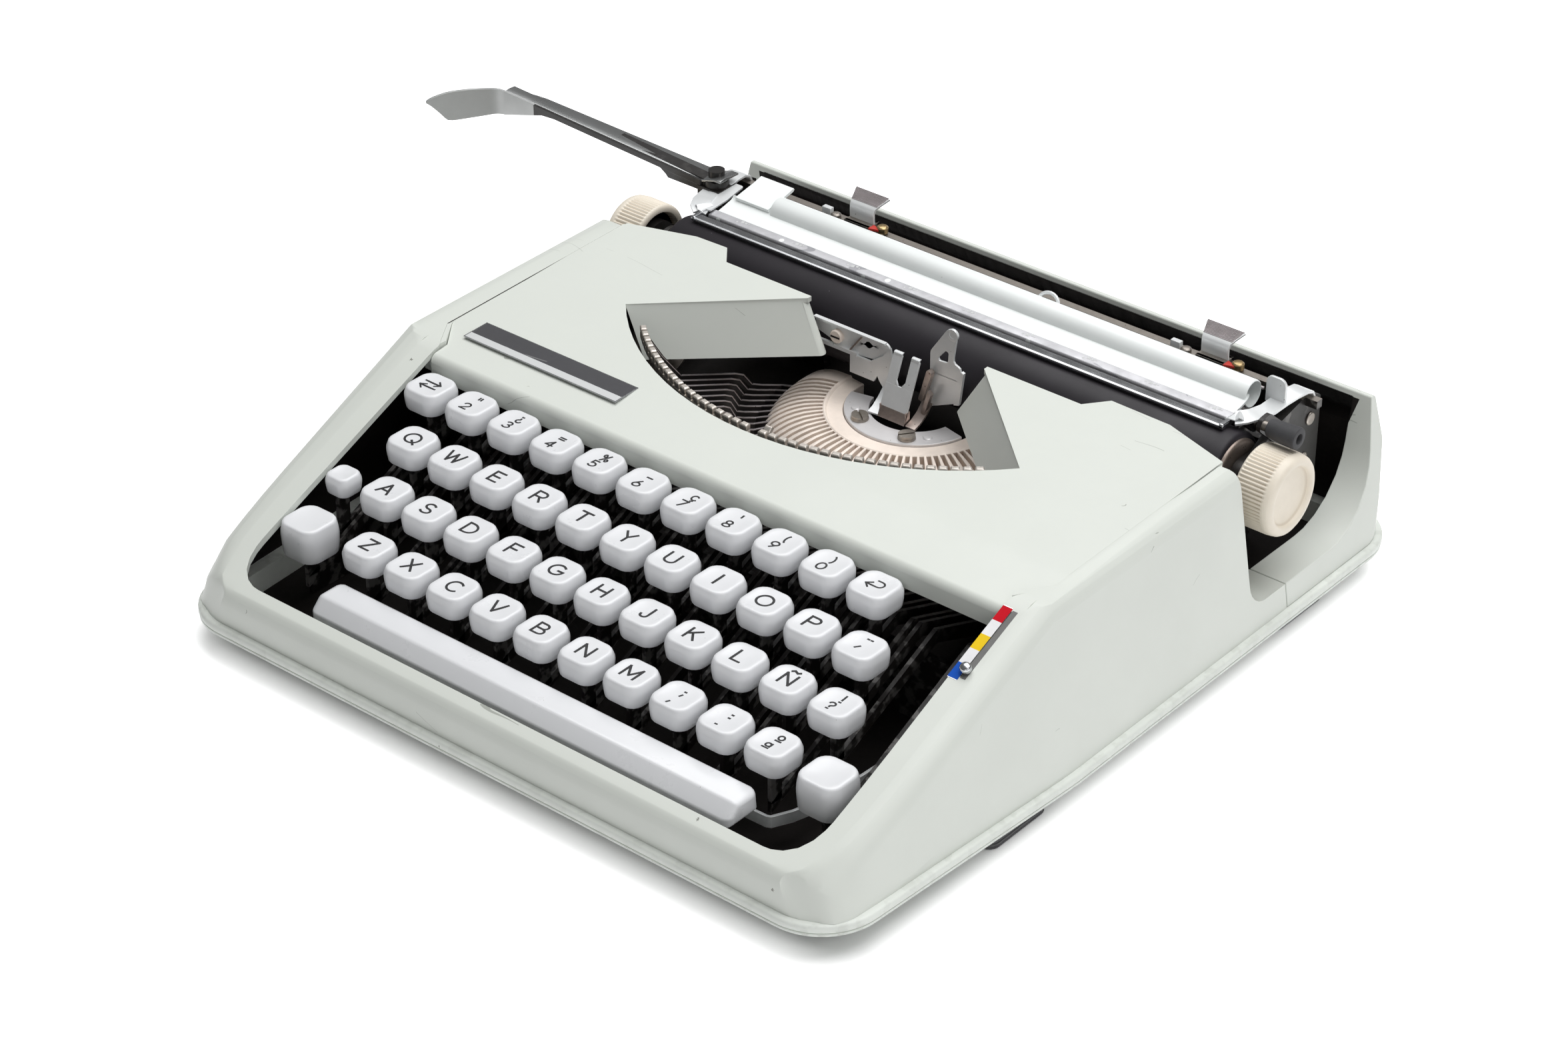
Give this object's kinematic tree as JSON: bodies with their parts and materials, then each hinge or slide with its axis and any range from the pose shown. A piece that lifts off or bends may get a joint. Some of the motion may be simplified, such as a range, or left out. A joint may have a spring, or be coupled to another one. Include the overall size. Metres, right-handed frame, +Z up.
{
  "type": "portable typewriter",
  "caption": "Low portable manual typewriter with a pale grey-green metal body, white keys, open type basket, sliding carriage and chrome return lever.",
  "frame": {"origin": "middle of the whole box on the table, the feet's undersides at z 0", "axes": "+X to the typist's right, +Y from the keyboard to the rear, +Z up"},
  "size_m": [0.3848, 0.3036, 0.0854],
  "materials": {
    "body_paint": "satin pale grey-green paint",
    "foot_rubber": "dark grey ribbed rubber",
    "black_steel": "black finished steel",
    "segment_bronze": "dull bronze",
    "type_steel": "aged steel",
    "bright_metal": "bright plated steel",
    "spool_metal": "plain sheet steel",
    "wheel_brass": "brass",
    "platen_rubber": "hard black rubber",
    "knob_cream": "cream moulded plastic",
    "key_white": "white moulded plastic caps with black legends on black levers"
  },
  "bodies": {
    "chassis": {"base_pan": "body_paint", "rubber_feet": "foot_rubber", "body_shell": "body_paint", "rear_shell": "body_paint", "main_frame": "black_steel", "type_segment": "segment_bronze", "typebars": "type_steel", "type_guide": "bright_metal", "carriage_rail": "black_steel"},
    "carriage": {"carriage_frame": "black_steel", "paper_table": "body_paint"},
    "platen": {"platen": "platen_rubber", "platen_knobs": "knob_cream"},
    "ribbon_cover": {"ribbon_cover": "body_paint"},
    "ribbon_vibrator": {"ribbon_vibrator": "bright_metal"},
    "spool_left": {"spool_left": "spool_metal"},
    "spool_right": {"spool_right": "spool_metal"},
    "colour_lever": {"colour_lever": "bright_metal"},
    "typebar_y": {"typebar_y": "type_steel"},
    "mainspring_drum": {"mainspring_drum": "spool_metal"},
    "escapement_wheel": {"escapement_wheel": "wheel_brass"},
    "paper_bail": {"paper_bail": "bright_metal"},
    "return_lever": {"return_lever": "bright_metal"},
    "margin_stop_left": {"margin_stop_left": "bright_metal"},
    "margin_stop_right": {"margin_stop_right": "bright_metal"},
    "paper_release_lever": {"paper_release_lever": "bright_metal"},
    "carriage_release_lever": {"carriage_release_lever": "bright_metal"},
    "key_q": {"key_q": "key_white"},
    "key_w": {"key_w": "key_white"},
    "key_e": {"key_e": "key_white"},
    "key_r": {"key_r": "key_white"},
    "key_t": {"key_t": "key_white"},
    "key_y": {"key_y": "key_white"},
    "key_u": {"key_u": "key_white"},
    "key_i": {"key_i": "key_white"},
    "key_o": {"key_o": "key_white"},
    "key_p": {"key_p": "key_white"},
    "key_a": {"key_a": "key_white"},
    "key_s": {"key_s": "key_white"},
    "key_d": {"key_d": "key_white"},
    "key_f": {"key_f": "key_white"},
    "key_g": {"key_g": "key_white"},
    "key_h": {"key_h": "key_white"},
    "key_j": {"key_j": "key_white"},
    "key_k": {"key_k": "key_white"},
    "key_l": {"key_l": "key_white"},
    "key_z": {"key_z": "key_white"},
    "key_x": {"key_x": "key_white"},
    "key_c": {"key_c": "key_white"},
    "key_v": {"key_v": "key_white"},
    "key_b": {"key_b": "key_white"},
    "key_n": {"key_n": "key_white"},
    "key_m": {"key_m": "key_white"},
    "margin_release_key": {"margin_release_key": "key_white"},
    "backspace_key": {"backspace_key": "key_white"},
    "number_keys": {"number_keys": "key_white"},
    "sign_keys": {"sign_keys": "key_white"},
    "shift_keys": {"shift_keys": "key_white"},
    "shift_lock_key": {"shift_lock_key": "key_white"},
    "space_bar": {"space_bar": "key_white"}
  },
  "joints": [
    {"name": "carriage_slide", "type": "slide", "parent": "chassis", "child": "carriage", "axis": [1, 0, 0], "range_m": [-0.1, 0.1]},
    {"name": "platen_turn", "type": "hinge", "parent": "carriage", "child": "platen", "pos_m": [0.0461, 0.0817, 0.056], "axis": [1, 0, 0], "continuous": true},
    {"name": "cover_hinge", "type": "hinge", "parent": "chassis", "child": "ribbon_cover", "pos_m": [0.0461, -0.0429, 0.0652], "axis": [1, 0, 0], "range_deg": [0, 80]},
    {"name": "return_lever_swing", "type": "hinge", "parent": "carriage", "child": "return_lever", "pos_m": [-0.0759, 0.1037, 0.076], "axis": [0, 0, 1], "range_deg": [0, 35], "stiffness_Nm_per_rad": 0.1, "springref_deg": -8.59},
    {"name": "paper_bail_lift", "type": "hinge", "parent": "carriage", "child": "paper_bail", "pos_m": [0.0461, 0.1027, 0.064], "axis": [-1, 0, 0], "range_deg": [0, 45]},
    {"name": "margin_stop_left_slide", "type": "slide", "parent": "carriage", "child": "margin_stop_left", "axis": [1, 0, 0], "range_m": [-0.03, 0.05]},
    {"name": "margin_stop_right_slide", "type": "slide", "parent": "carriage", "child": "margin_stop_right", "axis": [1, 0, 0], "range_m": [-0.05, 0.02]},
    {"name": "paper_release_swing", "type": "hinge", "parent": "carriage", "child": "paper_release_lever", "pos_m": [0.1641, 0.1137, 0.059], "axis": [1, 0, 0], "range_deg": [0, 10]},
    {"name": "carriage_release_swing", "type": "hinge", "parent": "carriage", "child": "carriage_release_lever", "pos_m": [0.1721, 0.1057, 0.059], "axis": [-1, 0, 0], "range_deg": [0, 12], "stiffness_Nm_per_rad": 0.2, "springref_deg": -8.59},
    {"name": "colour_select", "type": "slide", "parent": "chassis", "child": "colour_lever", "axis": [0, 0.9106, 0.4134], "range_m": [0, 0.02]},
    {"name": "vibrator_lift", "type": "slide", "parent": "chassis", "child": "ribbon_vibrator", "axis": [0, 0, 1], "range_m": [0, 0.0055]},
    {"name": "spool_left_turn", "type": "hinge", "parent": "chassis", "child": "spool_left", "pos_m": [-0.0579, 0.0357, 0.044], "axis": [0, 0, 1], "continuous": true},
    {"name": "spool_right_turn", "type": "hinge", "parent": "chassis", "child": "spool_right", "pos_m": [0.1501, 0.0357, 0.044], "axis": [0, 0, 1], "continuous": true},
    {"name": "drum_turn", "type": "hinge", "parent": "chassis", "child": "mainspring_drum", "pos_m": [-0.0439, 0.1267, 0.022], "axis": [0, 1, 0], "range_deg": [-460, 460]},
    {"name": "escapement_turn", "type": "hinge", "parent": "chassis", "child": "escapement_wheel", "pos_m": [0.0761, 0.1267, 0.022], "axis": [0, 1, 0], "range_deg": [-475, 475]},
    {"name": "typebar_y_swing", "type": "hinge", "parent": "chassis", "child": "typebar_y", "pos_m": [0.0449, 0.024, 0.036], "axis": [-1, 0, 0], "range_deg": [0, 108.71]},
    {"name": "key_q_press", "type": "hinge", "parent": "chassis", "child": "key_q", "pos_m": [0.0461, 0.0357, 0.018], "axis": [1, 0, 0], "range_deg": [0, 4.15], "stiffness_Nm_per_rad": 0.5, "springref_deg": -5.73},
    {"name": "key_w_press", "type": "hinge", "parent": "chassis", "child": "key_w", "pos_m": [0.0461, 0.0357, 0.018], "axis": [1, 0, 0], "range_deg": [0, 4.15], "stiffness_Nm_per_rad": 0.5, "springref_deg": -5.73},
    {"name": "key_e_press", "type": "hinge", "parent": "chassis", "child": "key_e", "pos_m": [0.0461, 0.0357, 0.018], "axis": [1, 0, 0], "range_deg": [0, 4.15], "stiffness_Nm_per_rad": 0.5, "springref_deg": -5.73},
    {"name": "key_r_press", "type": "hinge", "parent": "chassis", "child": "key_r", "pos_m": [0.0461, 0.0357, 0.018], "axis": [1, 0, 0], "range_deg": [0, 4.15], "stiffness_Nm_per_rad": 0.5, "springref_deg": -5.73},
    {"name": "key_t_press", "type": "hinge", "parent": "chassis", "child": "key_t", "pos_m": [0.0461, 0.0357, 0.018], "axis": [1, 0, 0], "range_deg": [0, 4.15], "stiffness_Nm_per_rad": 0.5, "springref_deg": -5.73},
    {"name": "key_y_press", "type": "hinge", "parent": "chassis", "child": "key_y", "pos_m": [0.0461, 0.0357, 0.018], "axis": [1, 0, 0], "range_deg": [0, 4.15], "stiffness_Nm_per_rad": 0.5, "springref_deg": -5.73},
    {"name": "key_u_press", "type": "hinge", "parent": "chassis", "child": "key_u", "pos_m": [0.0461, 0.0357, 0.018], "axis": [1, 0, 0], "range_deg": [0, 4.15], "stiffness_Nm_per_rad": 0.5, "springref_deg": -5.73},
    {"name": "key_i_press", "type": "hinge", "parent": "chassis", "child": "key_i", "pos_m": [0.0461, 0.0357, 0.018], "axis": [1, 0, 0], "range_deg": [0, 4.15], "stiffness_Nm_per_rad": 0.5, "springref_deg": -5.73},
    {"name": "key_o_press", "type": "hinge", "parent": "chassis", "child": "key_o", "pos_m": [0.0461, 0.0357, 0.018], "axis": [1, 0, 0], "range_deg": [0, 4.15], "stiffness_Nm_per_rad": 0.5, "springref_deg": -5.73},
    {"name": "key_p_press", "type": "hinge", "parent": "chassis", "child": "key_p", "pos_m": [0.0461, 0.0357, 0.018], "axis": [1, 0, 0], "range_deg": [0, 4.15], "stiffness_Nm_per_rad": 0.5, "springref_deg": -5.73},
    {"name": "key_a_press", "type": "hinge", "parent": "chassis", "child": "key_a", "pos_m": [0.0461, 0.0357, 0.018], "axis": [1, 0, 0], "range_deg": [0, 3.55], "stiffness_Nm_per_rad": 0.5, "springref_deg": -5.73},
    {"name": "key_s_press", "type": "hinge", "parent": "chassis", "child": "key_s", "pos_m": [0.0461, 0.0357, 0.018], "axis": [1, 0, 0], "range_deg": [0, 3.55], "stiffness_Nm_per_rad": 0.5, "springref_deg": -5.73},
    {"name": "key_d_press", "type": "hinge", "parent": "chassis", "child": "key_d", "pos_m": [0.0461, 0.0357, 0.018], "axis": [1, 0, 0], "range_deg": [0, 3.55], "stiffness_Nm_per_rad": 0.5, "springref_deg": -5.73},
    {"name": "key_f_press", "type": "hinge", "parent": "chassis", "child": "key_f", "pos_m": [0.0461, 0.0357, 0.018], "axis": [1, 0, 0], "range_deg": [0, 3.55], "stiffness_Nm_per_rad": 0.5, "springref_deg": -5.73},
    {"name": "key_g_press", "type": "hinge", "parent": "chassis", "child": "key_g", "pos_m": [0.0461, 0.0357, 0.018], "axis": [1, 0, 0], "range_deg": [0, 3.55], "stiffness_Nm_per_rad": 0.5, "springref_deg": -5.73},
    {"name": "key_h_press", "type": "hinge", "parent": "chassis", "child": "key_h", "pos_m": [0.0461, 0.0357, 0.018], "axis": [1, 0, 0], "range_deg": [0, 3.55], "stiffness_Nm_per_rad": 0.5, "springref_deg": -5.73},
    {"name": "key_j_press", "type": "hinge", "parent": "chassis", "child": "key_j", "pos_m": [0.0461, 0.0357, 0.018], "axis": [1, 0, 0], "range_deg": [0, 3.55], "stiffness_Nm_per_rad": 0.5, "springref_deg": -5.73},
    {"name": "key_k_press", "type": "hinge", "parent": "chassis", "child": "key_k", "pos_m": [0.0461, 0.0357, 0.018], "axis": [1, 0, 0], "range_deg": [0, 3.55], "stiffness_Nm_per_rad": 0.5, "springref_deg": -5.73},
    {"name": "key_l_press", "type": "hinge", "parent": "chassis", "child": "key_l", "pos_m": [0.0461, 0.0357, 0.018], "axis": [1, 0, 0], "range_deg": [0, 3.55], "stiffness_Nm_per_rad": 0.5, "springref_deg": -5.73},
    {"name": "key_z_press", "type": "hinge", "parent": "chassis", "child": "key_z", "pos_m": [0.0461, 0.0357, 0.018], "axis": [1, 0, 0], "range_deg": [0, 3.1], "stiffness_Nm_per_rad": 0.5, "springref_deg": -5.73},
    {"name": "key_x_press", "type": "hinge", "parent": "chassis", "child": "key_x", "pos_m": [0.0461, 0.0357, 0.018], "axis": [1, 0, 0], "range_deg": [0, 3.1], "stiffness_Nm_per_rad": 0.5, "springref_deg": -5.73},
    {"name": "key_c_press", "type": "hinge", "parent": "chassis", "child": "key_c", "pos_m": [0.0461, 0.0357, 0.018], "axis": [1, 0, 0], "range_deg": [0, 3.1], "stiffness_Nm_per_rad": 0.5, "springref_deg": -5.73},
    {"name": "key_v_press", "type": "hinge", "parent": "chassis", "child": "key_v", "pos_m": [0.0461, 0.0357, 0.018], "axis": [1, 0, 0], "range_deg": [0, 3.1], "stiffness_Nm_per_rad": 0.5, "springref_deg": -5.73},
    {"name": "key_b_press", "type": "hinge", "parent": "chassis", "child": "key_b", "pos_m": [0.0461, 0.0357, 0.018], "axis": [1, 0, 0], "range_deg": [0, 3.1], "stiffness_Nm_per_rad": 0.5, "springref_deg": -5.73},
    {"name": "key_n_press", "type": "hinge", "parent": "chassis", "child": "key_n", "pos_m": [0.0461, 0.0357, 0.018], "axis": [1, 0, 0], "range_deg": [0, 3.1], "stiffness_Nm_per_rad": 0.5, "springref_deg": -5.73},
    {"name": "key_m_press", "type": "hinge", "parent": "chassis", "child": "key_m", "pos_m": [0.0461, 0.0357, 0.018], "axis": [1, 0, 0], "range_deg": [0, 3.1], "stiffness_Nm_per_rad": 0.5, "springref_deg": -5.73},
    {"name": "margin_release_key_press", "type": "hinge", "parent": "chassis", "child": "margin_release_key", "pos_m": [0.0461, 0.0357, 0.018], "axis": [1, 0, 0], "range_deg": [0, 4.99], "stiffness_Nm_per_rad": 0.5, "springref_deg": -5.73},
    {"name": "backspace_key_press", "type": "hinge", "parent": "chassis", "child": "backspace_key", "pos_m": [0.0461, 0.0357, 0.018], "axis": [1, 0, 0], "range_deg": [0, 4.99], "stiffness_Nm_per_rad": 0.5, "springref_deg": -5.73},
    {"name": "number_keys_press", "type": "hinge", "parent": "chassis", "child": "number_keys", "pos_m": [0.0461, 0.0357, 0.018], "axis": [1, 0, 0], "range_deg": [0, 4.99], "stiffness_Nm_per_rad": 0.5, "springref_deg": -5.73},
    {"name": "sign_keys_press", "type": "hinge", "parent": "chassis", "child": "sign_keys", "pos_m": [0.0461, 0.0357, 0.018], "axis": [1, 0, 0], "range_deg": [0, 3.1], "stiffness_Nm_per_rad": 0.5, "springref_deg": -5.73},
    {"name": "shift_keys_press", "type": "hinge", "parent": "chassis", "child": "shift_keys", "pos_m": [0.0461, 0.0357, 0.018], "axis": [1, 0, 0], "range_deg": [0, 3.07], "stiffness_Nm_per_rad": 0.5, "springref_deg": -5.73},
    {"name": "shift_lock_key_press", "type": "hinge", "parent": "chassis", "child": "shift_lock_key", "pos_m": [0.0461, 0.0357, 0.018], "axis": [1, 0, 0], "range_deg": [0, 2.62], "stiffness_Nm_per_rad": 0.5, "springref_deg": -5.73},
    {"name": "space_bar_press", "type": "hinge", "parent": "chassis", "child": "space_bar", "pos_m": [0.0461, 0.0357, 0.018], "axis": [1, 0, 0], "range_deg": [0, 2.07], "stiffness_Nm_per_rad": 0.5, "springref_deg": -5.73}
  ],
  "couplings": [
    {"joint": "spool_right_turn", "follows": "spool_left_turn", "ratio": 1},
    {"joint": "drum_turn", "follows": "carriage_slide", "rad_per_m": 80},
    {"joint": "escapement_turn", "follows": "carriage_slide", "rad_per_m": -82.47},
    {"joint": "key_y_press", "follows": "typebar_y_swing", "ratio": 0.038147}
  ]
}
